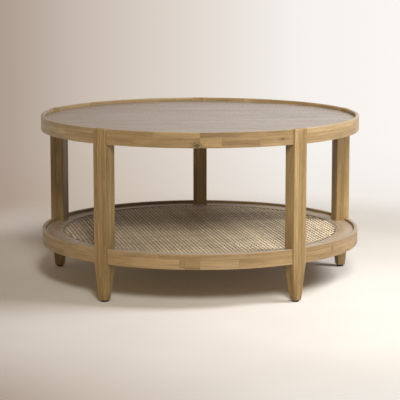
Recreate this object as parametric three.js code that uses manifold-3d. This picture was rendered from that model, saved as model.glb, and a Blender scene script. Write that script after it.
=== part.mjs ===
// Round two-tier wooden coffee table with a woven lower shelf.
// Five straight legs with tapered feet carry a top and a shelf. Each tier is a flat panel let into a
// raised band, and the legs interrupt the bands, so a band is five bent pieces between the legs.
// Millimetres, +Z up, origin on the floor at the table's centre, front towards -Y.

import * as THREE from "three";
import { mergeVertices } from "three/addons/utils/BufferGeometryUtils.js";
import Module from "manifold-3d";

const wasm = await Module();
wasm.setup();

// Driving dimensions.
const TABLE_RADIUS = 457; // outside of both bands
const TABLE_HEIGHT = 475;
const LEG_COUNT = 5;
const GAP = 0.3; // between pieces that touch
const PANEL_GAP = 0.5; // round a panel inside its band

// Bands: a thin rim above the panel's seat, a thicker foot below it.
const BAND_HEIGHT = 42;
const BAND_THICKNESS = 22;
const RIM_THICKNESS = 10;
const BAND_ARC_SEGMENTS = 18;
const ROUND_SEGMENTS = 90;

// Top panel.
const TOP_SINK = 8.8; // panel surface below the rim
const TOP_THICKNESS = 12;

// Shelf: a flat ledge ring round a woven panel, which lies on a plywood backing.
const SHELF_HEIGHT = 149; // top of the shelf band's rim
const SHELF_SINK = 7.3; // ledge surface below the rim
const LEDGE_THICKNESS = 15;
const LEDGE_WIDTH = 47.5;
const WEAVE_SINK = 0.7; // weave surface below the ledge
const WEAVE_THICKNESS = 4;
const SPLINE_WIDTH = 4.5;
const SPLINE_SINK = 1.1;
const BACKING_LAP = 12; // how far the backing runs in under the ledge

// Legs, in the frame of one leg: X away from the table's centre, Y along the rim.
const LEG_WIDTH = 42;
const LEG_DEPTH = 40;
const LEG_PROUD = 3; // outer face beyond the bands
const FOOT_SIZE = 22.5;
const FOOT_CENTRE_RADIUS = 442;

// Glide under each foot.
const GLIDE_HEIGHT = 5;
const GLIDE_RADIUS = 10;
const GLIDE_EDGE = 1.2;
const PIN_RADIUS = 1.6;
const PIN_LENGTH = 12;

// Blocks behind the legs, and the bolts that pull the legs onto them.
const BLOCK_WIDTH = 70;
const BLOCK_DEPTH = 45;
const BOLT_RADIUS = 4;
const BOLT_CLEARANCE = 0.4;
const BOLT_HEAD_RADIUS = 7;
const BOLT_HEAD_HEIGHT = 5;
const SOCKET_RADIUS = 3.2;
const SOCKET_DEPTH = 3;
const INSERT_RADIUS = 6;
const INSERT_LENGTH = 18;
const BOLT_SIDES = 16;

// Worked out from the above.
const LEG_SPACING = (2 * Math.PI) / LEG_COUNT;
const FIRST_LEG_ANGLE = -Math.PI / 2 + LEG_SPACING / 2;
const LEG_OUTER = TABLE_RADIUS + LEG_PROUD;
const LEG_INNER = LEG_OUTER - LEG_DEPTH;
const RIM_INNER = TABLE_RADIUS - RIM_THICKNESS;
const BAND_INNER = TABLE_RADIUS - BAND_THICKNESS;
const PANEL_RADIUS = RIM_INNER - PANEL_GAP;
const TOP_SURFACE = TABLE_HEIGHT - TOP_SINK;
const TOP_SEAT = TOP_SURFACE - TOP_THICKNESS - GAP;
const TOP_BAND_BOTTOM = TABLE_HEIGHT - BAND_HEIGHT;
const LEDGE_SURFACE = SHELF_HEIGHT - SHELF_SINK;
const LEDGE_BOTTOM = LEDGE_SURFACE - LEDGE_THICKNESS;
const SHELF_SEAT = LEDGE_BOTTOM - GAP;
const SHELF_BAND_BOTTOM = SHELF_HEIGHT - BAND_HEIGHT;
const LEDGE_INNER = RIM_INNER - LEDGE_WIDTH;
const SPLINE_OUTER = LEDGE_INNER - GAP;
const SPLINE_INNER = SPLINE_OUTER - SPLINE_WIDTH;
const WEAVE_RADIUS = SPLINE_INNER - GAP;
const WEAVE_SURFACE = LEDGE_SURFACE - WEAVE_SINK;
const WEAVE_BOTTOM = WEAVE_SURFACE - WEAVE_THICKNESS;
const BACKING_TOP = WEAVE_BOTTOM - GAP;
const BACKING_RADIUS = LEDGE_INNER + BACKING_LAP;
const TOP_BLOCK_HEIGHT = TOP_SEAT - TOP_BAND_BOTTOM - GAP;
const SHELF_BLOCK_HEIGHT = SHELF_SEAT - SHELF_BAND_BOTTOM - GAP;
const TOP_BOLT_Z = TOP_BAND_BOTTOM + TOP_BLOCK_HEIGHT / 2;
const SHELF_BOLT_Z = SHELF_BAND_BOTTOM + SHELF_BLOCK_HEIGHT / 2;
const BLOCK_OUTER = LEG_INNER - GAP;
const BLOCK_INNER = BLOCK_OUTER - BLOCK_DEPTH;
const BOLT_LENGTH = BLOCK_DEPTH + INSERT_LENGTH - 2 * GAP;

const LEG_NAMES = ["front_right", "right", "back", "left", "front_left"];
const BAND_NAMES = ["right", "back_right", "back_left", "left", "front"];

const MATERIALS = {
  legWood: new THREE.MeshStandardMaterial({ color: 0xb08d5e, roughness: 0.6 }),
  bandWood: new THREE.MeshStandardMaterial({ color: 0xa88457, roughness: 0.6 }),
  topWood: new THREE.MeshStandardMaterial({ color: 0xa18562, roughness: 0.45 }),
  ledgeWood: new THREE.MeshStandardMaterial({ color: 0xa38a6b, roughness: 0.5 }),
  cane: new THREE.MeshStandardMaterial({ color: 0xb99f74, roughness: 0.65 }),
  plywood: new THREE.MeshStandardMaterial({ color: 0xc4a77b, roughness: 0.8 }),
  steel: new THREE.MeshStandardMaterial({ color: 0x8d8f92, roughness: 0.35, metalness: 1 }),
  brass: new THREE.MeshStandardMaterial({ color: 0xb59a4c, roughness: 0.4, metalness: 1 }),
  plastic: new THREE.MeshStandardMaterial({ color: 0x1d1b19, roughness: 0.55 }),
};

// A closed geometry as a solid that can be joined and cut.
function solidOf(geometry) {
  const bare = geometry.clone();
  bare.deleteAttribute("normal");
  bare.deleteAttribute("uv");
  const merged = mergeVertices(bare, 1e-3);
  const mesh = new wasm.Mesh({
    numProp: 3,
    vertProperties: merged.attributes.position.array,
    triVerts: new Uint32Array(merged.index.array),
  });
  return new wasm.Manifold(mesh);
}

// A solid back as a geometry with flat faces.
function geometryOf(solid) {
  const mesh = solid.getMesh();
  const shared = new THREE.BufferGeometry();
  shared.setAttribute("position", new THREE.BufferAttribute(mesh.vertProperties, 3));
  shared.setIndex(new THREE.BufferAttribute(mesh.triVerts, 1));
  const flat = shared.toNonIndexed();
  flat.computeVertexNormals();
  return flat;
}

function piece(name, geometry, material) {
  const mesh = new THREE.Mesh(geometry, material);
  mesh.name = name;
  return mesh;
}

// A profile of [radius, height] points turned round the Z axis.
function turned(profile, segments) {
  const points = profile.map(([radius, height]) => new THREE.Vector2(radius, height));
  return new THREE.LatheGeometry(points, segments).rotateX(Math.PI / 2);
}

// A plain disc or rod standing on height `bottom`.
function disc(radius, bottom, height, segments) {
  const profile = [
    [0, bottom],
    [radius, bottom],
    [radius, bottom + height],
    [0, bottom + height],
  ];
  return turned(profile, segments);
}

// A rod along X from `start`, at height `z`.
function rodAlongX(radius, start, length, z, segments) {
  return disc(radius, start, length, segments)
    .rotateY(Math.PI / 2)
    .translate(0, 0, z);
}

// An outline of [x, z] points, `width` thick along Y and centred on it.
function plateAlongY(outline, width) {
  const shape = new THREE.Shape(outline.map(([x, z]) => new THREE.Vector2(x, z)));
  return new THREE.ExtrudeGeometry(shape, { depth: width, bevelEnabled: false })
    .translate(0, 0, -width / 2)
    .rotateX(Math.PI / 2);
}

// An outline of [y, z] points, reaching along X from `start` to `end`.
function plateAlongX(outline, start, end) {
  const shape = new THREE.Shape(outline.map(([y, z]) => new THREE.Vector2(y, z)));
  return new THREE.ExtrudeGeometry(shape, { depth: end - start, bevelEnabled: false })
    .translate(0, 0, start)
    .rotateX(Math.PI / 2)
    .rotateZ(Math.PI / 2);
}

// One bent layer between two legs, centred on +X. Its ends are parallel to the legs' sides.
function arcLayer(innerRadius, bottom, top) {
  const endOffset = LEG_WIDTH / 2 + GAP;
  const outerEnd = LEG_SPACING / 2 - Math.asin(endOffset / TABLE_RADIUS);
  const innerEnd = LEG_SPACING / 2 - Math.asin(endOffset / innerRadius);
  const plan = new THREE.Shape();
  plan.absarc(0, 0, TABLE_RADIUS, -outerEnd, outerEnd, false);
  plan.absarc(0, 0, innerRadius, innerEnd, -innerEnd, true);
  const options = {
    depth: top - bottom,
    bevelEnabled: false,
    curveSegments: BAND_ARC_SEGMENTS / 2, // three.js doubles it on an arc
  };
  return new THREE.ExtrudeGeometry(plan, options).translate(0, 0, bottom);
}

// A band piece: the thick foot up to the seat, and the thin rim above it.
function bandGeometry(seatHeight) {
  const foot = solidOf(arcLayer(BAND_INNER, 0, seatHeight));
  const rim = solidOf(arcLayer(RIM_INNER, seatHeight, BAND_HEIGHT));
  return geometryOf(foot.add(rim));
}

// Full section up to the top's seat, then a tongue that continues the rim; a foot tapered on all sides.
function legBlank() {
  const footInner = FOOT_CENTRE_RADIUS - FOOT_SIZE / 2;
  const footOuter = FOOT_CENTRE_RADIUS + FOOT_SIZE / 2;
  const side = [
    [footInner, GLIDE_HEIGHT],
    [footOuter, GLIDE_HEIGHT],
    [LEG_OUTER, SHELF_BAND_BOTTOM],
    [LEG_OUTER, TABLE_HEIGHT],
    [RIM_INNER, TABLE_HEIGHT],
    [RIM_INNER, TOP_SEAT],
    [LEG_INNER, TOP_SEAT],
    [LEG_INNER, SHELF_BAND_BOTTOM],
  ];
  const face = [
    [-FOOT_SIZE / 2, GLIDE_HEIGHT],
    [FOOT_SIZE / 2, GLIDE_HEIGHT],
    [LEG_WIDTH / 2, SHELF_BAND_BOTTOM],
    [LEG_WIDTH / 2, TABLE_HEIGHT],
    [-LEG_WIDTH / 2, TABLE_HEIGHT],
    [-LEG_WIDTH / 2, SHELF_BAND_BOTTOM],
  ];
  const fromTheSide = solidOf(plateAlongY(side, LEG_WIDTH));
  const fromTheFront = solidOf(plateAlongX(face, LEG_INNER - GAP, LEG_OUTER + GAP));
  return fromTheSide.intersect(fromTheFront);
}

function legGeometry() {
  const boreRadius = INSERT_RADIUS + GAP;
  const boreStart = LEG_INNER - GAP;
  const boreLength = INSERT_LENGTH + 2 * GAP;
  const pinHole = disc(PIN_RADIUS + GAP, 0, GLIDE_HEIGHT + PIN_LENGTH + GAP, BOLT_SIDES);
  pinHole.translate(FOOT_CENTRE_RADIUS, 0, 0);
  let leg = legBlank().subtract(solidOf(pinHole));
  for (const z of [TOP_BOLT_Z, SHELF_BOLT_Z]) {
    const bore = rodAlongX(boreRadius, boreStart, boreLength, z, BOLT_SIDES);
    leg = leg.subtract(solidOf(bore));
  }
  return geometryOf(leg);
}

// A round foot pad with a softened lower edge and a pin that goes up into the leg.
function glideGeometry() {
  const top = GLIDE_HEIGHT - GAP;
  const profile = [
    [0, 0],
    [GLIDE_RADIUS - GLIDE_EDGE, 0],
    [GLIDE_RADIUS, GLIDE_EDGE],
    [GLIDE_RADIUS, top],
    [PIN_RADIUS, top],
    [PIN_RADIUS, GLIDE_HEIGHT + PIN_LENGTH],
    [0, GLIDE_HEIGHT + PIN_LENGTH],
  ];
  return turned(profile, 2 * BOLT_SIDES);
}

// A block behind a leg, standing on z = 0, with a clearance hole for its bolt.
function blockGeometry(height) {
  const box = new THREE.BoxGeometry(BLOCK_DEPTH, BLOCK_WIDTH, height);
  box.translate(BLOCK_OUTER - BLOCK_DEPTH / 2, 0, height / 2);
  const hole = rodAlongX(
    BOLT_RADIUS + BOLT_CLEARANCE,
    BLOCK_INNER - GAP,
    BLOCK_DEPTH + 2 * GAP,
    height / 2,
    BOLT_SIDES,
  );
  return geometryOf(solidOf(box).subtract(solidOf(hole)));
}

// A bolt along X whose head bears on the block's inner face, with a hexagon socket in the head.
function boltGeometry() {
  const bearing = BLOCK_INNER - GAP;
  const headStart = bearing - BOLT_HEAD_HEIGHT;
  const head = rodAlongX(BOLT_HEAD_RADIUS, headStart, BOLT_HEAD_HEIGHT, 0, BOLT_SIDES);
  const shank = rodAlongX(BOLT_RADIUS, headStart + SOCKET_DEPTH, BOLT_LENGTH, 0, BOLT_SIDES);
  const socket = rodAlongX(SOCKET_RADIUS, headStart - GAP, SOCKET_DEPTH, 0, 6);
  return geometryOf(solidOf(head).add(solidOf(shank)).subtract(solidOf(socket)));
}

// The threaded bush in the leg that the bolt screws into.
function insertGeometry() {
  const start = LEG_INNER + GAP;
  const outside = rodAlongX(INSERT_RADIUS, start, INSERT_LENGTH - GAP, 0, BOLT_SIDES);
  const bore = rodAlongX(
    BOLT_RADIUS + BOLT_CLEARANCE,
    LEG_INNER,
    INSERT_LENGTH + GAP,
    0,
    BOLT_SIDES,
  );
  return geometryOf(solidOf(outside).subtract(solidOf(bore)));
}

// The ledge ring, notched where the legs pass, with a rebate underneath for the backing.
function ledgeGeometry() {
  const rebateRadius = BACKING_RADIUS + GAP;
  const rebateTop = BACKING_TOP + GAP;
  const profile = [
    [rebateRadius, LEDGE_BOTTOM],
    [PANEL_RADIUS, LEDGE_BOTTOM],
    [PANEL_RADIUS, LEDGE_SURFACE],
    [LEDGE_INNER, LEDGE_SURFACE],
    [LEDGE_INNER, rebateTop],
    [rebateRadius, rebateTop],
    [rebateRadius, LEDGE_BOTTOM],
  ];
  let ring = solidOf(turned(profile, ROUND_SEGMENTS));
  const notchDepth = TABLE_RADIUS - LEG_INNER;
  const notchWidth = LEG_WIDTH + 2 * GAP;
  for (let i = 0; i < LEG_COUNT; i += 1) {
    const notch = new THREE.BoxGeometry(notchDepth, notchWidth, 2 * LEDGE_THICKNESS);
    notch.translate(LEG_INNER - GAP + notchDepth / 2, 0, LEDGE_BOTTOM);
    notch.rotateZ(FIRST_LEG_ANGLE + i * LEG_SPACING);
    ring = ring.subtract(solidOf(notch));
  }
  return geometryOf(ring);
}

// The strip that holds the edge of the weave down in its groove.
function splineGeometry() {
  const top = LEDGE_SURFACE - SPLINE_SINK;
  const profile = [
    [SPLINE_INNER, WEAVE_BOTTOM],
    [SPLINE_OUTER, WEAVE_BOTTOM],
    [SPLINE_OUTER, top],
    [SPLINE_INNER, top],
    [SPLINE_INNER, WEAVE_BOTTOM],
  ];
  return turned(profile, ROUND_SEGMENTS);
}

// The flat panels, which lie at their own heights in the table's frame.
function panels() {
  const made = new THREE.Group();
  const top = disc(PANEL_RADIUS, TOP_SEAT + GAP, TOP_THICKNESS, ROUND_SEGMENTS);
  const weave = disc(WEAVE_RADIUS, WEAVE_BOTTOM, WEAVE_THICKNESS, ROUND_SEGMENTS);
  const backingHeight = BACKING_TOP - LEDGE_BOTTOM;
  const backing = disc(BACKING_RADIUS, LEDGE_BOTTOM, backingHeight, ROUND_SEGMENTS);
  made.add(
    piece("top_panel", top, MATERIALS.topWood),
    piece("shelf_ledge", ledgeGeometry(), MATERIALS.ledgeWood),
    piece("shelf_weave", weave, MATERIALS.cane),
    piece("shelf_spline", splineGeometry(), MATERIALS.cane),
    piece("shelf_backing", backing, MATERIALS.plywood),
  );
  return made;
}

// The five bent pieces of one band, each turned to lie between two legs.
function bandRing(prefix, bottom, seat) {
  const ring = new THREE.Group();
  const geometry = bandGeometry(seat - bottom);
  BAND_NAMES.forEach((name, i) => {
    const band = piece(`${prefix}_${name}`, geometry, MATERIALS.bandWood);
    band.rotation.z = FIRST_LEG_ANGLE + (i + 0.5) * LEG_SPACING;
    ring.add(band);
  });
  ring.position.z = bottom;
  return ring;
}

// What is at one tier behind a leg: the block, its bolt and the insert in the leg.
function fixing(tier, name, shapes, bottom, boltZ) {
  const made = new THREE.Group();
  const block = piece(`${tier}_block_${name}`, shapes.block, MATERIALS.plywood);
  block.position.z = bottom;
  const bolt = piece(`${tier}_bolt_${name}`, shapes.bolt, MATERIALS.steel);
  bolt.position.z = boltZ;
  const insert = piece(`${tier}_insert_${name}`, shapes.insert, MATERIALS.brass);
  insert.position.z = boltZ;
  made.add(block, bolt, insert);
  return made;
}

// Each leg with everything that is turned with it round the table.
function legStations() {
  const made = new THREE.Group();
  const leg = legGeometry();
  const glide = glideGeometry();
  const fasteners = { bolt: boltGeometry(), insert: insertGeometry() };
  const topShapes = { ...fasteners, block: blockGeometry(TOP_BLOCK_HEIGHT) };
  const shelfShapes = { ...fasteners, block: blockGeometry(SHELF_BLOCK_HEIGHT) };
  LEG_NAMES.forEach((name, i) => {
    const station = new THREE.Group();
    const pad = piece(`glide_${name}`, glide, MATERIALS.plastic);
    pad.position.x = FOOT_CENTRE_RADIUS;
    station.add(
      piece(`leg_${name}`, leg, MATERIALS.legWood),
      pad,
      fixing("top", name, topShapes, TOP_BAND_BOTTOM, TOP_BOLT_Z),
      fixing("shelf", name, shelfShapes, SHELF_BAND_BOTTOM, SHELF_BOLT_Z),
    );
    station.rotation.z = FIRST_LEG_ANGLE + i * LEG_SPACING;
    made.add(station);
  });
  return made;
}

const table = new THREE.Group();
table.add(
  panels(),
  bandRing("top_band", TOP_BAND_BOTTOM, TOP_SEAT),
  bandRing("shelf_band", SHELF_BAND_BOTTOM, SHELF_SEAT),
  legStations(),
);

export default table;
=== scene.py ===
import math
import random

import bpy
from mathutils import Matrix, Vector


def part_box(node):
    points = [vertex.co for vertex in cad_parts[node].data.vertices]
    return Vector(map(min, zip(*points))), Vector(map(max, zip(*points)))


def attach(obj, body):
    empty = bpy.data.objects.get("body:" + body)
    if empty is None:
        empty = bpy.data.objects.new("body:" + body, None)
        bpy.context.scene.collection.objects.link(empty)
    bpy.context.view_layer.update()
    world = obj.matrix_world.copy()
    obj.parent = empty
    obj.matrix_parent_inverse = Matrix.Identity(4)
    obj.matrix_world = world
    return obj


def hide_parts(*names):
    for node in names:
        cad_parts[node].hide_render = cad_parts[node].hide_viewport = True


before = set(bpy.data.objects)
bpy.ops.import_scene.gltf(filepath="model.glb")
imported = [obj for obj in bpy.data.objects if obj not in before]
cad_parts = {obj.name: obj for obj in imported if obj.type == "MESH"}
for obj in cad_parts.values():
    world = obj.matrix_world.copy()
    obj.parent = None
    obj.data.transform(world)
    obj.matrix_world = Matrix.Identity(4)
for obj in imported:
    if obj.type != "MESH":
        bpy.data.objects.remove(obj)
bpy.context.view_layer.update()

# Looks of a round two-tier wooden table with a woven lower shelf.
# Metres, +Z up, origin on the floor at the table's centre, front towards -Y.

LEG_NAMES = ["front_right", "right", "back", "left", "front_left"]
BAND_NAMES = ["right", "back_right", "back_left", "left", "front"]
LEG_SPACING = math.tau / len(LEG_NAMES)
FIRST_LEG_ANGLE = -math.pi / 2 + LEG_SPACING / 2

# Finish of the edges.
EDGE_ROUND = 0.0014  # on bands and legs
FINE_ROUND = 0.0008  # on panels
ROUND_STEPS = 3
FACE_MARGIN = 0.0022  # a flat face starts this far from its rounded edge
CIRCLE_STEPS = 240
BAND_STEPS = 44
GLIDE_STEPS = 48
TAPER_ROWS = 8  # in the foot of a leg
SHAFT_ROWS = 12
NOTCH_STEPS = 8
SHARP_ANGLE = math.radians(38)
BLOCK_BEVEL = 0.0012
BOLT_BEVEL = 0.0004
INSERT_BEVEL = 0.0002
GLUE_GAP = 0.0003  # between touching pieces
NEAR = 0.001  # a vertex this close to a level is on it

# Lamination and grain.
UPPER_STRIP_SHARE = 1 / 3  # of a band's height
STAVE_SHORTEST = 0.10
STAVE_LONGEST = 0.26
# End joints of some bands, from the middle of the band: (upper strip, lower strip).
BAND_JOINTS = {
    ("top", "front"): ([-0.127, 0.0], [-0.185, 0.0, 0.058, 0.162]),
    ("shelf", "front"): ([-0.11, 0.0, 0.13], [-0.055, -0.041, 0.0, 0.105]),
}
# Staves of the lower strip that stand out: paler above 1, darker below 0.
STRAY_STAVES = {("top", "front"): {2: 2.2}, ("shelf", "front"): {1: -1.2}}
LEG_STRIPS = 3
LEDGE_SEGMENTS = 10
RINGS_PER_METRE = 160.0
NO_JOINT = 9.0  # half length given to a piece with no joints along its grain

# Weave. The strands that run from front to back lie on top for longer.
STRAND_PITCH = 0.0108
STRAND_WIDTH = 0.0081
STRAND_THICKNESS = 0.0013
STRAND_RISE = 0.00115  # of its middle, over or under a crossing strand
STRAND_BIAS = 0.22  # of the rise
STRAND_ANGLE = math.radians(12.3)
STRAND_FLATNESS = 1.4  # above 1, a strand runs level where it passes over or under another
STRAND_WANDER = 0.0004
# Corners of a strand's section: (share of the width, share of the thickness, depth in the weave, which
# sets the painted shade).
STRAND_SECTION = [
    (-0.5, -0.1, 0.75), (-0.3, 0.42, 0.15), (0.3, 0.42, 0.15), (0.5, -0.1, 0.75), (0.0, -0.5, 1.0),
]
ROWS_PER_CROSSING = 4
# Depth in the weave given to the spline, which sets how much painted shade it gets.
SPLINE_PAINTED_SHADE = 0.62
SPLINE_ROUND_SHARE = 0.3  # of the strip's width
SPLINE_MARGIN = 0.0001

SEED = 7


# ---- Measures taken from the frame ----

def turned_back(point, angle):
    """A point in the frame of a piece that stands at this angle round the table."""
    c, s = math.cos(angle), math.sin(angle)
    return Vector((point.x * c + point.y * s, -point.x * s + point.y * c, point.z))


def leg_angle(name):
    return FIRST_LEG_ANGLE + LEG_NAMES.index(name) * LEG_SPACING


def band_angle(name):
    return FIRST_LEG_ANGLE + (BAND_NAMES.index(name) + 0.5) * LEG_SPACING


def vertices(node):
    return [v.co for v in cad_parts[node].data.vertices]


def local_box(node, angle, keep=lambda point: True):
    """Lowest and highest corner of a node's vertices in the frame of its own angle."""
    found = [turned_back(point, angle) for point in vertices(node)]
    found = [point for point in found if keep(point)]
    low = Vector(min(point[axis] for point in found) for axis in range(3))
    high = Vector(max(point[axis] for point in found) for axis in range(3))
    return low, high


def radii(node, keep=lambda point: True):
    """Least and greatest distance of a node's vertices from the table's axis."""
    lengths = [point.xy.length for point in vertices(node) if keep(point)]
    return min(lengths), max(lengths)


def knee_height():
    """Where the legs begin to taper: level with the underside of the shelf."""
    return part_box("shelf_band_front")[0].z


# ---- Meshes ----

def rounded(corners, radius, margin, inset=0.0):
    """A closed outline with its corners rounded, moved in by `inset`.

    `corners` go anticlockwise. Gives points and, for each, how much it lies on an edge (0 or 1).
    """
    points, edges = [], []
    count = len(corners)
    for i, corner in enumerate(corners):
        before = (Vector(corners[i - 1]) - Vector(corner)).normalized()
        after = (Vector(corners[(i + 1) % count]) - Vector(corner)).normalized()
        inward = Vector((before.y, -before.x)) + Vector((-after.y, after.x))
        facing = Vector((before.y, -before.x)).dot(Vector((-after.y, after.x)))
        moved = Vector(corner) + inward * inset / (1 + facing)
        turn = before.x * after.y - before.y * after.x
        if abs(turn) < 1e-6:  # a point on a straight stretch
            points.append(moved)
            edges.append(0.0)
            continue
        own = max(radius + (inset if turn > 0 else -inset), 1e-5)
        points.append(moved + before * (own + margin))
        edges.append(0.0)
        start, end = before * own, after * own
        centre = start + end
        for step in range(ROUND_STEPS + 1):
            angle = math.pi / 2 * step / ROUND_STEPS
            points.append(moved + centre - end * math.cos(angle) - start * math.sin(angle))
            edges.append(1.0)
        points.append(moved + after * (own + margin))
        edges.append(0.0)
    return points, edges


def edge_steps(radius):
    """(distance from the end, inset) pairs that round an end, from its flat face inwards."""
    steps = []
    for step in range(ROUND_STEPS + 1):
        angle = math.pi / 2 * (1 - step / ROUND_STEPS)
        steps.append((radius * (1 - math.sin(angle)), radius * (1 - math.cos(angle))))
    return steps


def loft(rows, cyclic=False):
    """Points and faces of a closed surface through rows of equal length, each a closed loop."""
    across = len(rows[0])
    points = [point for row in rows for point in row]
    faces, cells = [], []
    last = len(rows) if cyclic else len(rows) - 1
    for i in range(last):
        a, b = i * across, (i + 1) % len(rows) * across
        for j in range(across):
            k = (j + 1) % across
            faces.append((a + j, a + k, b + k, b + j))
            cells.append((i, j))
    if not cyclic:
        faces.append(tuple(reversed(range(across))))
        cells.append((0, None))
        top = (len(rows) - 1) * across
        faces.append(tuple(range(top, top + across)))
        cells.append((len(rows) - 2, None))
    return points, faces, cells


def faces_outward(points, faces):
    """The same faces, turned round if the closed surface is inside out."""
    volume = 0.0
    for face in faces:
        first = points[face[0]]
        for b, c in zip(face[1:], face[2:]):
            volume += first.dot(points[b].cross(points[c]))
    return faces if volume > 0 else [tuple(reversed(face)) for face in faces]


def add_piece(name, points, faces, grain, edge, stave, material, stands_for):
    """A mesh piece on the root body.

    `grain` is each point's place in the wood, along the grain first; `edge` is 1 on rounded edges.
    `stave` is each face's (random share, middle along the grain, half length along the grain).
    """
    points = [Vector(point) for point in points]
    mesh = bpy.data.meshes.new(name)
    mesh.from_pydata(points, [], faces_outward(points, faces))
    add_attribute(mesh, "grain", "FLOAT_VECTOR", "POINT", "vector", [x for g in grain for x in g])
    add_attribute(mesh, "edge", "FLOAT", "POINT", "value", edge)
    add_attribute(mesh, "stave", "FLOAT_VECTOR", "FACE", "vector", [x for s in stave for x in s])
    mesh.polygons.foreach_set("use_smooth", [True] * len(mesh.polygons))
    mesh.set_sharp_from_angle(angle=SHARP_ANGLE)
    mesh.materials.append(material)
    piece = bpy.data.objects.new(name, mesh)
    bpy.context.scene.collection.objects.link(piece)
    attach(piece, "root")
    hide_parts(*stands_for)


def add_attribute(mesh, name, kind, domain, field, values):
    mesh.attributes.new(name, kind, domain).data.foreach_set(field, values)


def around(radius, angle, height):
    return Vector((radius * math.cos(angle), radius * math.sin(angle), height))


def turned(name, profile, centre, material, stands_for, steps=CIRCLE_STEPS):
    """A profile of (radius, height, edge) points turned round a vertical axis.

    The two ends of the profile are closed by flat faces, and the grain runs along X.
    """
    rows, edge = [], []
    for radius, height, on_edge in profile:
        row = [around(radius, math.tau * k / steps, height) for k in range(steps)]
        rows.append([point + Vector((centre[0], centre[1], 0)) for point in row])
        edge += [on_edge] * steps
    points, faces, _ = loft(rows)
    share = random.random()
    grain = [tuple(point) for point in points]
    stave = [(share, 0, NO_JOINT)] * len(faces)
    add_piece(name, points, faces, grain, edge, stave, material, stands_for)


def eased_disc(radius, bottom, top, ease):
    """The profile of a disc whose two edges are rounded."""
    profile = [(radius - ease - FACE_MARGIN, bottom, 0.0)]
    profile += [(radius - inset, bottom + away, 1.0) for away, inset in edge_steps(ease)]
    upper = [(r, bottom + top - z, e) for r, z, e in reversed(profile)]
    return profile + upper


# ---- Bands ----

def stave_cuts(length, draw):
    """Places of the end joints along a strip, as distances from its middle."""
    cuts = [-length / 2 + draw.uniform(STAVE_SHORTEST, STAVE_LONGEST)]
    while cuts[-1] < length / 2 - STAVE_SHORTEST:
        cuts.append(cuts[-1] + draw.uniform(STAVE_SHORTEST, STAVE_LONGEST))
    return [cut for cut in cuts if cut < length / 2 - STAVE_SHORTEST / 2]


def staves_between(cuts, length, draw):
    """(share, middle, half length) of each stave of a strip."""
    ends = [-length / 2 - NO_JOINT] + cuts + [length / 2 + NO_JOINT]
    return [(draw.random(), (a + b) / 2, (b - a) / 2) for a, b in zip(ends, ends[1:])]


def stave_at(staves, place):
    for stave in staves:
        if abs(place - stave[1]) <= stave[2]:
            return stave
    return staves[-1]


def band_stations(length, cuts):
    """Places along a band: even steps, and every joint."""
    step = length / BAND_STEPS
    even = [-length / 2 + step * k for k in range(1, BAND_STEPS)]
    even = [place for place in even if all(abs(place - cut) > step / 3 for cut in cuts)]
    return sorted(even + list(set(cuts)))


def band(tier, name, material):
    node = f"{tier}_band_{name}"
    angle = band_angle(name)
    low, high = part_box(node)
    bottom, top = low.z, high.z
    inner, outer = radii(node)
    rim_inner = radii(node, lambda p: p.z > top - NEAR)[0]
    seat = max(point.z for point in vertices(node) if point.xy.length < inner + NEAR)
    split = top - UPPER_STRIP_SHARE * (top - bottom)
    corners = [
        (outer, bottom), (outer, split), (outer, top), (rim_inner, top),
        (rim_inner, split), (rim_inner, seat), (inner, seat), (inner, bottom),
    ]
    seen_from_middle = [turned_back(point, angle) for point in vertices(node)]
    end_angle = max(math.atan2(point.y, point.x) for point in seen_from_middle)
    leg_side = outer * math.sin(LEG_SPACING / 2 - end_angle)

    def half_angle(radius):
        return LEG_SPACING / 2 - math.asin(leg_side / radius)

    length = 2 * half_angle(outer) * outer
    draw = random.Random(f"{SEED} {node}")
    drawn_cuts = stave_cuts(length, draw), stave_cuts(length, draw)
    upper_cuts, lower_cuts = BAND_JOINTS.get((tier, name), drawn_cuts)
    upper = staves_between(upper_cuts, length, draw)
    lower = staves_between(lower_cuts, length, draw)
    for i, share in STRAY_STAVES.get((tier, name), {}).items():
        lower[i] = (share, *lower[i][1:])

    rows, grain, edge, places = [], [], [], []

    def add_row(place, from_end=0.0, inset=0.0, whole_edge=False):
        outline, on_edge = rounded(corners, EDGE_ROUND, FACE_MARGIN, inset)
        share = place / (length / 2)
        row = []
        for radius, height in outline:
            turn = share * half_angle(radius) - math.copysign(from_end / radius, place)
            row.append(around(radius, angle + turn, height))
            grain.append((place, radius, height))
        rows.append(row)
        places.append(place)
        edge.extend([1.0] * len(outline) if whole_edge else on_edge)

    for from_end, inset in edge_steps(EDGE_ROUND):
        add_row(-length / 2, from_end, inset, whole_edge=True)
    add_row(-length / 2, EDGE_ROUND + FACE_MARGIN)
    for place in band_stations(length, upper_cuts + lower_cuts):
        add_row(place)
    add_row(length / 2, EDGE_ROUND + FACE_MARGIN)
    for from_end, inset in reversed(edge_steps(EDGE_ROUND)):
        add_row(length / 2, from_end, inset, whole_edge=True)

    across = len(rows[0])
    points, faces, cells = loft(rows)
    stave = []
    for i, j in cells:
        middle = (places[i] + places[i + 1]) / 2
        z = rows[i][0].z if j is None else (rows[i][j].z + rows[i][(j + 1) % across].z) / 2
        stave.append(stave_at(upper if z > split else lower, middle))
    add_piece(node + "_staves", points, faces, grain, edge, stave, material, [node])


# ---- Legs ----

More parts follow.
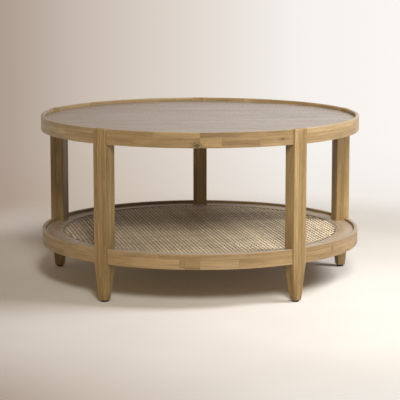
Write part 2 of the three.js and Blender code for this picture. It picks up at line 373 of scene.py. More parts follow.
def leg(name, material):
    node = f"leg_{name}"
    angle = leg_angle(name)
    low, high = local_box(node, angle)
    knee = knee_height()
    foot_low, foot_high = local_box(node, angle, lambda p: p.z < low.z + NEAR)
    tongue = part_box("top_panel")[0].z - GLUE_GAP
    shoulder = min(point.z for point in vertices(node) if point.z > tongue - NEAR)
    tongue_inner = local_box(node, angle, lambda p: p.z > high.z - NEAR)[0].x
    body_inner = local_box(node, angle, lambda p: knee - NEAR < p.z < knee + NEAR)[0].x
    draw = random.Random(f"{SEED} {node}")
    strips = [(draw.random(), 0, NO_JOINT) for _ in range(LEG_STRIPS)]

    rows, grain, edge = [], [], []

    def add_row(height, inner, outer, half, inset=0.0, whole_edge=False):
        strip = 2 * half / LEG_STRIPS
        cuts = [-half + strip * k for k in range(1, LEG_STRIPS)]
        corners = [(outer, -half)] + [(outer, y) for y in cuts] + [(outer, half)]
        corners += [(inner, half)] + [(inner, y) for y in reversed(cuts)] + [(inner, -half)]
        outline, on_edge = rounded(corners, EDGE_ROUND, FACE_MARGIN, inset)
        row = []
        for x, y in outline:
            row.append(around(x, angle, height) + y * around(1, angle + math.pi / 2, 0))
            grain.append((height, y, x))
        rows.append(row)
        edge.extend([1.0] * len(outline) if whole_edge else on_edge)

    def taper(height):
        share = (knee - height) / (knee - low.z)
        inner = body_inner + share * (foot_low.x - body_inner)
        outer = high.x + share * (foot_high.x - high.x)
        return inner, outer, high.y + share * (foot_high.y - high.y)

    for away, inset in edge_steps(EDGE_ROUND):
        height = low.z + away
        add_row(height, *taper(height), inset, whole_edge=True)
    for k in range(1, TAPER_ROWS):
        height = low.z + FACE_MARGIN + (knee - FACE_MARGIN - low.z) * k / TAPER_ROWS
        add_row(height, *taper(height))
    add_row(knee, body_inner, high.x, high.y)
    for k in range(1, SHAFT_ROWS + 1):
        height = knee + (shoulder - knee) * k / SHAFT_ROWS
        add_row(height, body_inner, high.x, high.y)
    add_row(shoulder, tongue_inner, high.x, high.y)
    add_row(high.z - EDGE_ROUND - FACE_MARGIN, tongue_inner, high.x, high.y)
    for away, inset in reversed(edge_steps(EDGE_ROUND)):
        add_row(high.z - away, tongue_inner, high.x, high.y, inset, whole_edge=True)

    points, faces, cells = loft(rows)
    stave = []
    for i, j in cells:
        strip = 0
        if j is not None:
            k = (j + 1) % len(rows[0])
            middle = (rows[i][j] + rows[i][k] + rows[i + 1][j] + rows[i + 1][k]) / 4
            half_width = max(turned_back(point, angle).y for point in rows[i])
            place = turned_back(middle, angle).y / (2 * half_width) + 0.5
            strip = min(int(place * LEG_STRIPS), LEG_STRIPS - 1)
        stave.append(strips[strip])
    add_piece(node + "_shaft", points, faces, grain, edge, stave, material, [node])


def glide(name, material):
    node = f"glide_{name}"
    angle = leg_angle(name)
    low, high = local_box(node, angle)
    centre = around((low.x + high.x) / 2, angle, 0)
    radius = (high.x - low.x) / 2
    pad_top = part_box(f"leg_{name}")[0].z - GLUE_GAP
    profile = eased_disc(radius, low.z, pad_top, FINE_ROUND)
    turned(node + "_pad", profile, centre, material, [node], GLIDE_STEPS)


# ---- Ledge ----

def ledge_outline(outer):
    """The ledge's outer boundary: an arc, let in behind each leg."""
    knee = knee_height()
    leg_low, leg_high = local_box("leg_back", leg_angle("back"), lambda p: p.z > knee - NEAR)
    inner_x = leg_low.x - GLUE_GAP
    half = leg_high.y + GLUE_GAP
    step_angle = math.asin(half / outer)
    outline = []
    for i in range(len(LEG_NAMES)):
        middle = FIRST_LEG_ANGLE + i * LEG_SPACING
        across = around(1, middle + math.pi / 2, 0)
        outline.append(around(outer, middle - step_angle, 0))
        for k in range(NOTCH_STEPS + 1):
            y = -half + 2 * half * k / NOTCH_STEPS
            outline.append(around(inner_x, middle, 0) + y * across)
        arc = LEG_SPACING - 2 * step_angle
        steps = CIRCLE_STEPS // len(LEG_NAMES)
        for k in range(steps):
            outline.append(around(outer, middle + step_angle + arc * k / steps, 0))
    return outline


def ledge(material):
    """The ring round the weave, with a rebate underneath for the backing board."""
    low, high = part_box("shelf_ledge")
    inner, outer = radii("shelf_ledge")
    rebate = radii("shelf_ledge", lambda p: p.z < low.z + NEAR)[0] - inner
    on_bore = [point for point in vertices("shelf_ledge") if point.xy.length < inner + NEAR]
    rebate_top = min(point.z for point in on_bore)
    outline = ledge_outline(outer)
    rows, grain, edge = [], [], []

    def add_row(share, from_outer, from_inner, height, on_edge):
        row = []
        for rim in outline:
            direction = Vector((rim.x, rim.y, 0)).normalized()
            reach = rim.xy.length
            radius = inner + from_inner + share * (reach - from_outer - inner - from_inner)
            row.append(direction * radius + Vector((0, 0, height)))
            turn = math.atan2(direction.y, direction.x)
            grain.append((turn * inner, radius, height))
            edge.append(on_edge)
        rows.append(row)

    ease = FINE_ROUND
    for away, inset in reversed(edge_steps(ease)):
        add_row(1.0, inset, 0.0, high.z - away, 1.0)
    add_row(1.0, ease + FACE_MARGIN, 0.0, high.z, 0.0)
    add_row(0.0, 0.0, ease + FACE_MARGIN, high.z, 0.0)
    for away, inset in edge_steps(ease):
        add_row(0.0, 0.0, inset, high.z - away, 1.0)
    add_row(0.0, 0.0, 0.0, rebate_top, 0.0)
    add_row(0.0, 0.0, rebate, rebate_top, 0.0)
    add_row(0.0, 0.0, rebate, low.z, 0.0)
    add_row(1.0, 0.0, 0.0, low.z, 0.0)
    points, faces, cells = loft(rows, cyclic=True)
    arc = math.tau / LEDGE_SEGMENTS
    shares = [random.random() for _ in range(LEDGE_SEGMENTS)]
    stave = []
    for i, j in cells:
        turn = math.atan2(rows[i][j].y, rows[i][j].x) + math.pi
        segment = int(turn / arc) % LEDGE_SEGMENTS
        middle = ((segment + 0.5) * arc - math.pi) * inner
        stave.append((shares[segment], middle, arc * inner / 2))
    add_piece("shelf_ledge_ring", points, faces, grain, edge, stave, material,
              ["shelf_ledge"])


# ---- Weave ----

def strand_height(place, side, bias):
    """Height of a strand's middle, from -1 to 1: over one crossing strand, under the next."""
    wave = side * math.cos(math.pi * place / STRAND_PITCH)
    return max(-1.0, min(1.0, STRAND_FLATNESS * wave + bias))


def strands(name, direction_angle, over, bias, radius, middle_z, material, stands_for):
    """All strands of one direction, cut to the round opening.

    Their `edge` is how deep a point lies in the weave, which the cane's finish turns into painted shade.
    """
    along = around(1, direction_angle, 0)
    across = around(1, direction_angle + math.pi / 2, 0)
    points, faces, grain, edge, stave = [], [], [], [], []
    draw = random.Random(f"{SEED} {name}")
    count = int(radius / STRAND_PITCH)
    step = STRAND_PITCH / ROWS_PER_CROSSING
    for i in range(-count, count + 1):
        offset = i * STRAND_PITCH
        reach = math.sqrt(max(radius ** 2 - (abs(offset) + STRAND_WIDTH / 2) ** 2, 0))
        if reach < STRAND_PITCH:
            continue
        side = over if i % 2 == 0 else -over
        places = [k * step for k in range(math.ceil(-reach / step), math.floor(reach / step) + 1)]
        places = [-reach] + [p for p in places if abs(p) < reach - step / 2] + [reach]
        share, shift = draw.random(), draw.uniform(-10, 10)
        wander = draw.uniform(-STRAND_WANDER, STRAND_WANDER)
        rows = []
        for place in places:
            height = strand_height(place, side, bias)
            rise = Vector((0, 0, middle_z + STRAND_RISE * height))
            centre = along * place + across * (offset + wander) + rise
            row = []
            for y, z, depth in STRAND_SECTION:
                row.append(centre + across * y * STRAND_WIDTH + Vector((0, 0, z * STRAND_THICKNESS)))
                grain.append((place + shift, y * STRAND_WIDTH, z * STRAND_THICKNESS))
                # Depth for the painted shade: a strand's sides and underside, and where it dips under
                # another strand.
                edge.append(max(depth, (1 - height) / 2))
            rows.append(row)
        own_points, own_faces, _ = loft(rows)
        own_faces = faces_outward(own_points, own_faces)
        base = len(points)
        points += own_points
        faces += [tuple(base + k for k in face) for face in own_faces]
        stave += [(share, 0, NO_JOINT)] * len(own_faces)
    add_piece(name, points, faces, grain, edge, stave, material, stands_for)


def weave(material):
    low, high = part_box("shelf_weave")
    radius = radii("shelf_weave")[1]
    middle = (low.z + high.z) / 2
    strands("shelf_weave_crosswise", STRAND_ANGLE, 1, -STRAND_BIAS, radius, middle, material,
            ["shelf_weave"])
    strands("shelf_weave_lengthwise", STRAND_ANGLE + math.pi / 2, -1, STRAND_BIAS, radius, middle,
            material, ["shelf_weave"])


def spline(material):
    """The strip that holds the weave's edge down."""
    low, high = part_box("shelf_spline")
    inner, outer = radii("shelf_spline")
    corners = [(inner, low.z), (outer, low.z), (outer, high.z), (inner, high.z)]
    outline, _ = rounded(corners, SPLINE_ROUND_SHARE * (outer - inner), SPLINE_MARGIN)
    angles = [math.tau * k / CIRCLE_STEPS for k in range(CIRCLE_STEPS)]
    rows, grain = [], []
    for radius, height in outline:
        rows.append([around(radius, angle, height) for angle in angles])
        grain += [(inner * angle, radius, height) for angle in angles]
    points, faces, _ = loft(rows, cyclic=True)
    # Painted shade: the whole spline is darkened as if it lay this deep in the weave.
    edge = [SPLINE_PAINTED_SHADE] * len(points)
    stave = [(0.5, 0, NO_JOINT)] * len(faces)
    add_piece("shelf_spline_strip", points, faces, grain, edge, stave, material,
              ["shelf_spline"])


# ---- Materials ----

class Nodes:
    """A node tree, with short calls for the nodes that it is built from."""

    def __init__(self, tree):
        self.tree = tree

    def node(self, kind, **settings):
        made = self.tree.nodes.new(kind)
        for key, value in settings.items():
            setattr(made, key, value)
        return made

    def feed(self, socket, value):
        if isinstance(value, bpy.types.NodeSocket):
            self.tree.links.new(value, socket)
        elif value is not None:
            socket.default_value = value

    def math(self, operation, a, b=None):
        made = self.node("ShaderNodeMath", operation=operation)
        self.feed(made.inputs[0], a)
        self.feed(made.inputs[1], b)
        return made.outputs[0]

    def vector(self, operation, a, b=None):
        made = self.node("ShaderNodeVectorMath", operation=operation)
        self.feed(made.inputs[0], a)
        self.feed(made.inputs[1], b)
        return made.outputs["Value" if operation == "LENGTH" else "Vector"]

    def place(self, kind="Object"):
        return self.node("ShaderNodeTexCoord").outputs[kind]

    def attribute(self, name, output="Vector"):
        return self.node("ShaderNodeAttribute", attribute_name=name).outputs[output]

    def upward(self):
        """How much the surface looks up, from -1 to 1."""
        return self.parts(self.node("ShaderNodeNewGeometry").outputs["Normal"])[2]

    def parts(self, vector):
        made = self.node("ShaderNodeSeparateXYZ")
        self.feed(made.inputs[0], vector)
        return made.outputs

    def grey(self, value):
        made = self.node("ShaderNodeCombineXYZ")
        for socket in made.inputs:
            self.feed(socket, value)
        return made.outputs[0]

    def noise(self, place, scale, detail=3.0, roughness=0.5, distortion=0.0):
        made = self.node("ShaderNodeTexNoise")
        self.feed(made.inputs["Vector"], self.vector("MULTIPLY", place, scale))
        made.inputs["Scale"].default_value = 1.0
        made.inputs["Detail"].default_value = detail
        made.inputs["Roughness"].default_value = roughness
        made.inputs["Distortion"].default_value = distortion
        return made.outputs["Fac"]

    def between(self, value, low, high, to_low=0.0, to_high=1.0, kind="LINEAR", clamp=True):
        made = self.node("ShaderNodeMapRange", interpolation_type=kind, clamp=clamp)
        self.feed(made.inputs["Value"], value)
        for key, number in zip(("From Min", "From Max", "To Min", "To Max"),
                               (low, high, to_low, to_high)):
            made.inputs[key].default_value = number
        return made.outputs["Result"]

    def ramp(self, value, stops):
        made = self.node("ShaderNodeValToRGB")
        self.feed(made.inputs[0], value)
        elements = made.color_ramp.elements
        while len(elements) < len(stops):
            elements.new(0.5)
        for element, (place, color) in zip(elements, stops):
            element.position = place
            element.color = (*color, 1.0)
        return made.outputs["Color"]

    def mixed(self, share, a, b, blend="MIX"):
        made = self.node("ShaderNodeMix", data_type="RGBA", blend_type=blend)
        self.feed(made.inputs["Factor"], share)
        for key, value in (("A", a), ("B", b)):
            socket = [s for s in made.inputs if s.name == key and s.type == "RGBA"][0]
            if isinstance(value, tuple):
                value = (*value, 1.0)
            self.feed(socket, value)
        return [s for s in made.outputs if s.type == "RGBA"][0]

    def tinted(self, share, color, tint):
        """`color` with a share of it multiplied by `tint`."""
        return self.mixed(share, color, self.mixed(1.0, color, tint, "MULTIPLY"))

    def bump(self, height, strength, distance):
        made = self.node("ShaderNodeBump")
        self.feed(made.inputs["Height"], height)
        made.inputs["Strength"].default_value = strength
        made.inputs["Distance"].default_value = distance
        return made.outputs["Normal"]


class Shader(Nodes):
    """A material whose surface is one principled shader."""

    def __init__(self, name):
        self.material = bpy.data.materials.new(name)
        self.material.use_nodes = True
        super().__init__(self.material.node_tree)
        self.surface = self.tree.nodes["Principled BSDF"]

    def finish(self, color, roughness, normal, **constants):
        self.feed(self.surface.inputs["Base Color"], color)
        self.feed(self.surface.inputs["Roughness"], roughness)
        self.feed(self.surface.inputs["Normal"], normal)
        for key, value in constants.items():
            self.surface.inputs[key.replace("_", " ")].default_value = value
        return self.material


# Scales of the noises in wood: along the grain, across it and through it.
STREAK_SCALE = (2.2, 95.0, 95.0)
BROAD_SCALE = (1.3, 16.0, 16.0)
MOTTLE_SCALE = (7.0, 26.0, 26.0)
FLECK_SCALE = (22.0, 330.0, 330.0)
FIBRE_SCALE = (14.0, 900.0, 900.0)
PORE_SCALE = (70.0, 1500.0, 1500.0)
RING_WANDER_SCALE = (3.5, 24.0, 24.0)
STAVE_SHIFT = (37.0, 11.0, 23.0)  # how far apart staves lie in the wood they are cut from
MOTTLE_TINT = (0.86, 0.83, 0.77)
RELIEF_DEPTH = 0.0003


def darker(color, share):
    return tuple(channel * share for channel in color)


def wood_place(s, has_grain):
    """The place in the wood where the figure is drawn, and a share that differs by stave."""
    if not has_grain:
        place = s.place()
        return place, s.noise(place, (1.0, 1.0, 1.0), 0.0)
    share = s.parts(s.attribute("stave"))[0]
    shift = s.vector("MULTIPLY", s.grey(share), STAVE_SHIFT)
    return s.vector("ADD", s.attribute("grain"), shift), share


def growth_rings(s, place, share):
    """Growth rings cut lengthways: wavy lines, closed into arches where the cut is shallow."""
    wander = s.noise(place, RING_WANDER_SCALE, 2.0, 0.5)
    across = s.parts(place)
    tilt = s.between(share, 0.0, 1.0, -1.0, 1.0)
    depth = s.math("ADD", across[1], s.math("MULTIPLY", across[2], tilt))
    count = s.math("ADD", s.math("MULTIPLY", depth, RINGS_PER_METRE), s.math("MULTIPLY", wander, 7.0))
    ring = s.math("FRACT", count)
    return s.math("MULTIPLY", s.between(ring, 0.25, 0.85), s.between(ring, 1.0, 0.92))


def end_joints(s, color, height, ink):
    """A thin dark sunk line where two staves meet."""
    stave = s.parts(s.attribute("stave"))
    along = s.parts(s.attribute("grain"))[0]
    from_middle = s.math("ABSOLUTE", s.math("SUBTRACT", along, stave[1]))
    from_joint = s.math("SUBTRACT", stave[2], from_middle)
    line = s.between(from_joint, 0.0002, 0.0007, 1.0, 0.0)
    return s.mixed(s.math("MULTIPLY", line, 0.45), color, ink), s.math("SUBTRACT", height, line)


def knots(s, color, places, ink):
    """Small knots: a dark eye in rings of darker wood, at places in the table's frame."""
    here = s.place()
    ragged = s.between(s.noise(here, (160.0, 160.0, 160.0), 3.0, 0.6), 0.2, 0.8, 0.5, 1.5)
    for centre, width, height in places:
        away = s.vector("SUBTRACT", here, centre)
        flat = s.vector("MULTIPLY", away, (1 / width, 1 / width, 1 / height))
        reach = s.math("MULTIPLY", s.vector("LENGTH", flat), ragged)
        swirl = s.math("FRACT", s.math("MULTIPLY", reach, 2.6))
        halo = s.between(reach, 1.3, 0.7, 0.0, 0.85)
        color = s.mixed(s.math("MULTIPLY", halo, s.between(swirl, 0.2, 0.8)), color, ink)
        color = s.mixed(s.between(reach, 0.45, 0.2, 0.0, 0.8), color, darker(ink, 0.4))
    return color


def wood(name, dark, middle, light, by_stave=0.06, gloss=0.42, has_grain=True, joints=False,
         specular=0.5, rings=0.22, streak_scale=STREAK_SCALE, relief=0.22, painted_sheen=None,
         knot_places=()):
    """Satin wood: growth rings, streaks, fibres, open pores, and a tint of each stave's own.

    The colour for the faces that look up is a painted sheen, paler where they would reflect the bright
    surroundings; `knot_places` are (centre, width, height).
    """
    s = Shader(name)
    place, share = wood_place(s, has_grain)
    streaks = s.noise(place, streak_scale, 5.0, 0.62, 0.35)
    broad = s.noise(place, BROAD_SCALE, 2.0, 0.5, 0.6)
    flecks = s.noise(place, FLECK_SCALE, 3.0, 0.6)
    fibres = s.noise(place, FIBRE_SCALE, 2.0, 0.6)
    pores = s.between(s.noise(place, PORE_SCALE, 1.0, 0.5), 0.62, 0.70)
    mottle = s.between(s.noise(place, MOTTLE_SCALE, 2.0, 0.55), 0.36, 0.64)
    late = growth_rings(s, place, share)

    figure = s.math("ADD", s.math("MULTIPLY", streaks, 0.55), s.math("MULTIPLY", broad, 0.45))
    color = s.ramp(figure, [(0.36, dark), (0.5, middle), (0.64, light)])
    color = s.mixed(s.math("MULTIPLY", late, rings), color, darker(dark, 0.8))
    fine = s.between(s.math("ADD", fibres, flecks), 0.7, 1.3, 0.76, 1.18)
    color = s.mixed(1.0, color, s.grey(fine), "MULTIPLY")
    color = s.tinted(mottle, color, MOTTLE_TINT)
    color = s.mixed(s.math("MULTIPLY", pores, 0.5), color, darker(dark, 0.45))
    height = s.math("SUBTRACT", s.math("MULTIPLY", fibres, 0.5), pores)
    height = s.math("SUBTRACT", height, s.math("MULTIPLY", late, 0.3))
    if has_grain:
        tint = s.between(share, 0.0, 1.0, 1.0 - by_stave, 1.0 + by_stave, clamp=False)
        color = s.mixed(1.0, color, s.grey(tint), "MULTIPLY")
        worn = s.math("MULTIPLY", s.attribute("edge", "Fac"), s.between(broad, 0.4, 0.65))
        color = s.mixed(s.math("MULTIPLY", worn, 0.35), color, light)
    # Painted sheen: faces that look up are mixed towards a paler grey colour.
    if painted_sheen:
        color = s.mixed(s.between(s.upward(), 0.7, 0.95, 0.0, 0.5), color, painted_sheen)
    if joints:
        color, height = end_joints(s, color, height, darker(dark, 0.35))
    if knot_places:
        color = knots(s, color, knot_places, darker(dark, 0.45))
    roughness = s.between(broad, 0.3, 0.7, gloss - 0.06, gloss + 0.08)
    normal = s.bump(height, relief, RELIEF_DEPTH)
    return s.finish(color, roughness, normal, Specular_IOR_Level=specular)


def cane():
    """Split rattan: each strand its own tone, fine lengthways fibres, painted shade in the hollows."""
    s = Shader("split_cane")
    place = s.attribute("grain")
    share = s.parts(s.attribute("stave"))[0]
    fibres = s.noise(place, (9.0, 2600.0, 2600.0), 3.0, 0.6)
    blotches = s.noise(place, (16.0, 60.0, 60.0), 3.0, 0.55)
    figure = s.math("ADD", s.math("MULTIPLY", fibres, 0.5), s.math("MULTIPLY", blotches, 0.5))
    dark, middle, light = (0.46, 0.36, 0.23), (0.70, 0.58, 0.42), (0.88, 0.78, 0.60)
    color = s.ramp(figure, [(0.36, dark), (0.5, middle), (0.66, light)])
    color = s.mixed(1.0, color, s.mixed(share, (0.68, 0.68, 0.68), (1.16, 1.16, 1.14)), "MULTIPLY")
    rings = s.between(s.noise(place, (30.0, 4.0, 4.0), 0.0, 0.5), 0.72, 0.76)
    color = s.mixed(s.math("MULTIPLY", rings, 0.5), color, (0.16, 0.09, 0.04))
    # Painted shade: points deep in the weave, on a strand's sides and where it passes under another, are
    # darkened nearly to black.
    painted_shade = s.between(s.attribute("edge", "Fac"), 0.15, 0.9, 0.0, 0.9)
    color = s.mixed(painted_shade, color, (0.055, 0.036, 0.02))
    roughness = s.between(blotches, 0.3, 0.7, 0.42, 0.58)
    return s.finish(color, roughness, s.bump(fibres, 0.3, 0.0002), Specular_IOR_Level=0.5)


def plywood():
    """Birch plywood, painted dark on the face under the weave as painted shade."""
    s = Shader("plywood")
    place = s.place()
    streaks = s.noise(place, (2.5, 60.0, 60.0), 4.0, 0.6, 0.4)
    dark, middle, light = (0.36, 0.24, 0.13), (0.50, 0.36, 0.21), (0.60, 0.45, 0.28)
    color = s.ramp(streaks, [(0.3, dark), (0.5, middle), (0.7, light)])
    layers = s.math("FRACT", s.math("MULTIPLY", s.parts(place)[2], 400.0))
    veneer = s.between(layers, 0.45, 0.55)
    upward = s.upward()
    side = s.between(s.math("ABSOLUTE", upward), 0.5, 0.7, 1.0, 0.0)
    on_edge = s.math("MULTIPLY", veneer, side)
    color = s.mixed(s.math("MULTIPLY", on_edge, 0.45), color, (0.18, 0.10, 0.05))
    # Painted shade: the upward face, under the weave, is darkened nearly to black.
    painted_shade = s.between(upward, 0.5, 0.7)
    color = s.mixed(s.math("MULTIPLY", painted_shade, 0.85), color, (0.05, 0.032, 0.02))
    roughness = s.between(streaks, 0.3, 0.7, 0.6, 0.75)
    return s.finish(color, roughness, s.bump(streaks, 0.2, RELIEF_DEPTH))


def metal(name, color, worn, roughness):
    """Turned and plated metal with fine lathe lines and duller patches."""
    s = Shader(name)
    place = s.place()
    patches = s.noise(place, (160.0, 160.0, 160.0), 3.0, 0.6)
    lines = s.noise(place, (2600.0, 2600.0, 300.0), 1.0, 0.5)
    tone = s.ramp(patches, [(0.35, worn), (0.6, color)])
    rough = s.between(patches, 0.3, 0.7, roughness + 0.14, roughness)
    return s.finish(tone, rough, s.bump(lines, 0.15, 0.0001), Metallic=1.0)


def plastic():
    """Moulded black plastic, greyer where it has slid on a floor."""
    s = Shader("moulded_plastic")
    place = s.place()
    mould = s.noise(place, (900.0, 900.0, 900.0), 2.0, 0.6)
    scuffs = s.noise(place, (220.0, 60.0, 60.0), 3.0, 0.6)
    color = s.ramp(scuffs, [(0.45, (0.010, 0.009, 0.008)), (0.7, (0.045, 0.040, 0.036))])
    return s.finish(color, s.between(scuffs, 0.3, 0.7, 0.42, 0.62), s.bump(mould, 0.2, 0.0002))


# ---- Floor, light and camera ----

FLOOR_RADIUS = 1.65
FLOOR_FADE = 0.75
FLOOR_STEPS = 96
# Painted shade on the floor, from its left to its right: paler on the left, darker on the right where the
# lamps light it most.
FLOOR_PAINTED_SHADE_GRADE = (1.04, 0.72)
FLOOR_PAINTED_SHADE_REACH = 0.9
CAMERA_DISTANCE = 5.068
CAMERA_PITCH = math.radians(9.138)
CAMERA_AIM = Vector((0, 0, 0.2222))
CAMERA_LENS = 156.94
CAMERA_SENSOR = 36.0
# Places of the lamps: degrees to the right of the front, degrees up, metres away.
KEY_PLACE = (76, 41, 2.2)
KEY_AIM = Vector((0, 0, 0.25))
KEY_SIZE = 0.9
KEY_POWER = 45.0
KEY_COLOR = (0.99, 0.99, 1.0)
BEAM_PLACE = (8, 33, 5.5)
BEAM_AIM = Vector((1.12, 0.1, 0.25))  # to the right of the table, so its left side is dimmer
BEAM_POWER = 1290.0
BEAM_COLOR = (1.04, 1.0, 0.90)
BEAM_RADIUS = 0.75
BEAM_ANGLE = math.radians(46)
# Colour of the paper by the direction's x, from -1 (place 0) to 1 (place 1).
PAPER = [
    (0.0, (0.80, 0.745, 0.69)),
    (0.29, (0.76, 0.70, 0.64)),
    (0.40, (0.39, 0.31, 0.26)),
    (0.444, (0.42, 0.335, 0.28)),
    (0.4715, (0.61, 0.53, 0.46)),
    (0.5, (0.77, 0.70, 0.64)),
    (0.5285, (0.92, 0.885, 0.85)),
    (0.556, (0.955, 0.93, 0.90)),
]
SURROUND_LEFT = (0.95, 0.76, 0.30)
SURROUND_FRONT = (0.12, 0.10, 0.075)
SURROUND_RIGHT = (0.10, 0.095, 0.09)
SURROUND_ABOVE = (0.20, 0.14, 0.11)
FLOOR_SHADE = (0.93, 0.91, 0.88)


def floor():
    """A pale floor that melts into the backdrop at its edge."""
    points = [around(FLOOR_RADIUS, math.tau * k / FLOOR_STEPS, 0) for k in range(FLOOR_STEPS)]
    mesh = bpy.data.meshes.new("floor")
    mesh.from_pydata(points, [], [tuple(range(FLOOR_STEPS))])
    s = Shader("floor_paper")
    place = s.place()
    mottle = s.noise(place, (3.0, 3.0, 3.0), 3.0, 0.5)
    color = s.ramp(mottle, [(0.3, (0.80, 0.77, 0.735)), (0.7, (0.84, 0.815, 0.78))])
    # Painted shade: the floor's colour is made darker towards the right, where the lamps are strongest.
    tone = s.between(s.parts(place)[0], -FLOOR_PAINTED_SHADE_REACH, FLOOR_PAINTED_SHADE_REACH, *FLOOR_PAINTED_SHADE_GRADE)
    color = s.mixed(1.0, color, s.grey(tone), "MULTIPLY")
    s.finish(color, 0.85, None, Specular_IOR_Level=0.1)
    away = s.vector("LENGTH", place)
    shown = s.between(away, FLOOR_RADIUS - FLOOR_FADE, FLOOR_RADIUS, 1.0, 0.0, "SMOOTHSTEP")
    s.feed(s.surface.inputs["Alpha"], shown)
    mesh.materials.append(s.material)
    piece = bpy.data.objects.new("floor", mesh)
    bpy.context.scene.collection.objects.link(piece)


def backdrop():
    """The surroundings: a roll of paper, dim and warm on the left, bright on the right.

    It stands low all round and high at the back. A darker room is above it.
    """
    world = bpy.data.worlds.new("studio")
    bpy.context.scene.world = world
    world.use_nodes = True
    w = Nodes(world.node_tree)
    x, y, z = w.parts(w.place("Generated"))

    def eased(value, low, high):
        return w.between(value, low, high, kind="SMOOTHSTEP")

    paper = w.ramp(w.between(x, -1.0, 1.0), PAPER)
    shade = w.mixed(eased(z, -0.12, -0.17), (1.0, 1.0, 1.0), FLOOR_SHADE)
    paper = w.mixed(1.0, paper, shade, "MULTIPLY")

    light = w.mixed(eased(x, -0.4, -0.8), SURROUND_FRONT, SURROUND_LEFT)
    light = w.mixed(eased(x, 0.4, 0.8), light, SURROUND_RIGHT)
    light = w.mixed(eased(z, 0.3, 0.5), light, SURROUND_ABOVE)
    back = w.math("MULTIPLY", eased(y, 0.3, 0.6), eased(z, 0.5, 0.3))
    light = w.mixed(back, light, paper)
    light = w.mixed(eased(z, 0.14, 0.07), light, paper)
    w.feed(w.tree.nodes["Background"].inputs["Color"], light)


def from_direction(azimuth, elevation, distance):
    """A place as seen from the table: azimuth 0 is the front, 90 the right."""
    a, e = math.radians(azimuth), math.radians(elevation)
    flat = distance * math.cos(e)
    return Vector((flat * math.sin(a), -flat * math.cos(a), KEY_AIM.z + distance * math.sin(e)))


def place_lamp(name, data, position, aim, power, color):
    data.energy = power
    data.color = color
    made = bpy.data.objects.new(name, data)
    made.location = position
    made.rotation_mode = "QUATERNION"
    made.rotation_quaternion = (aim - position).to_track_quat("-Z", "Y")
    made.visible_camera = False
    bpy.context.scene.collection.objects.link(made)


def soft_box():
    data = bpy.data.lights.new("key", "AREA")
    data.size = KEY_SIZE
    place_lamp("key", data, from_direction(*KEY_PLACE), KEY_AIM, KEY_POWER, KEY_COLOR)


def soft_beam():
    """A wide soft-edged beam, so that its light falls off across the table."""
    data = bpy.data.lights.new("beam", "SPOT")
    data.shadow_soft_size = BEAM_RADIUS
    data.spot_size = BEAM_ANGLE
    data.spot_blend = 1.0
    place_lamp("beam", data, from_direction(*BEAM_PLACE), BEAM_AIM, BEAM_POWER, BEAM_COLOR)


def camera():
    data = bpy.data.cameras.new("camera")
    data.sensor_width = CAMERA_SENSOR
    data.lens = CAMERA_LENS
    made = bpy.data.objects.new("camera", data)
    away = Vector((0, -math.cos(CAMERA_PITCH), math.sin(CAMERA_PITCH)))
    made.location = CAMERA_AIM + away * CAMERA_DISTANCE
    made.rotation_mode = "QUATERNION"
    made.rotation_quaternion = (-away).to_track_quat("-Z", "Y")
    bpy.context.scene.collection.objects.link(made)
    bpy.context.scene.camera = made


# ---- The table ----

def band_knots():
    """Places, widths and heights of the knots that show on the front and right bands."""
    radius = radii("top_band_front")[1]
    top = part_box("top_band_front")[0].z
    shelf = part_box("shelf_band_front")[0].z
    front = -math.pi / 2
    return [
        (around(radius, front - 0.017, top + 0.007), 0.018, 0.013),
        (around(radius, front + 0.50, top + 0.018), 0.014, 0.005),
        (around(radius, front + 0.925, shelf + 0.024), 0.004, 0.012),
        (around(radius, front - 1.1, top + 0.012), 0.006, 0.004),
    ]


def round_board(node, material):
    low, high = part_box(node)
    profile = eased_disc(radii(node)[1], low.z, high.z, FINE_ROUND)
    turned(node + "_board", profile, (0, 0), material, [node])


def cad_finish(node, material, bevel):
    """A CAD node kept as it is, with a finish and slightly softened edges."""
    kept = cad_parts[node]
    kept.data.materials.clear()
    kept.data.materials.append(material)
    softened = kept.modifiers.new("softened", "BEVEL")
    softened.width = bevel
    softened.segments = 2
    softened.limit_method = "ANGLE"


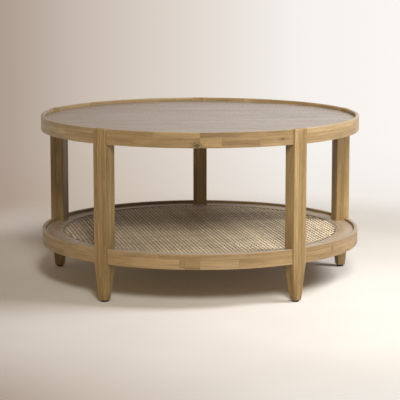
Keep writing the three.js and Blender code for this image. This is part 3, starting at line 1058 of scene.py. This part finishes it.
def build_table():
    random.seed(SEED)
    # The band oak gets a painted sheen on its faces that look up.
    band_wood = wood("band_oak", (0.225, 0.145, 0.061), (0.318, 0.213, 0.100), (0.412, 0.295, 0.155),
                     joints=True, rings=0.13, painted_sheen=(0.42, 0.375, 0.33), knot_places=band_knots())
    leg_wood = wood("leg_oak", (0.19, 0.12, 0.046), (0.302, 0.203, 0.090), (0.40, 0.288, 0.145),
                    gloss=0.52, specular=0.32, rings=0.26)
    top_wood = wood("top_oak_veneer", (0.206, 0.162, 0.131), (0.256, 0.209, 0.177), (0.306, 0.256, 0.222),
                    gloss=0.25, specular=0.66, relief=0.1, rings=0.14, streak_scale=(2.6, 60.0, 60.0))
    # The ledge is the same oak as the bands, painted paler and greyer: a painted sheen for the light its
    # top reflects.
    ledge_wood_painted_sheen = wood("ledge_oak_painted_sheen", (0.29, 0.215, 0.15), (0.42, 0.345, 0.26), (0.53, 0.45, 0.36),
                      joints=True, by_stave=0.05, gloss=0.36, rings=0.12)
    block_wood = wood("block_beech", (0.30, 0.20, 0.11), (0.42, 0.30, 0.18), (0.52, 0.39, 0.25),
                      has_grain=False)
    cane_finish = cane()
    steel = metal("zinc_steel", (0.55, 0.56, 0.57), (0.38, 0.38, 0.38), 0.30)
    brass = metal("turned_brass", (0.60, 0.45, 0.16), (0.38, 0.27, 0.10), 0.28)
    black = plastic()

    for name in BAND_NAMES:
        band("top", name, band_wood)
        band("shelf", name, band_wood)
    for name in LEG_NAMES:
        leg(name, leg_wood)
        glide(name, black)
        for tier in ("top", "shelf"):
            cad_finish(f"{tier}_block_{name}", block_wood, BLOCK_BEVEL)
            cad_finish(f"{tier}_bolt_{name}", steel, BOLT_BEVEL)
            cad_finish(f"{tier}_insert_{name}", brass, INSERT_BEVEL)

    round_board("top_panel", top_wood)
    round_board("shelf_backing", plywood())
    ledge(ledge_wood_painted_sheen)
    weave(cane_finish)
    spline(cane_finish)


def settle_view():
    bpy.context.scene.view_settings.view_transform = "Standard"


camera()
build_table()
floor()
backdrop()
soft_box()
soft_beam()
settle_view()
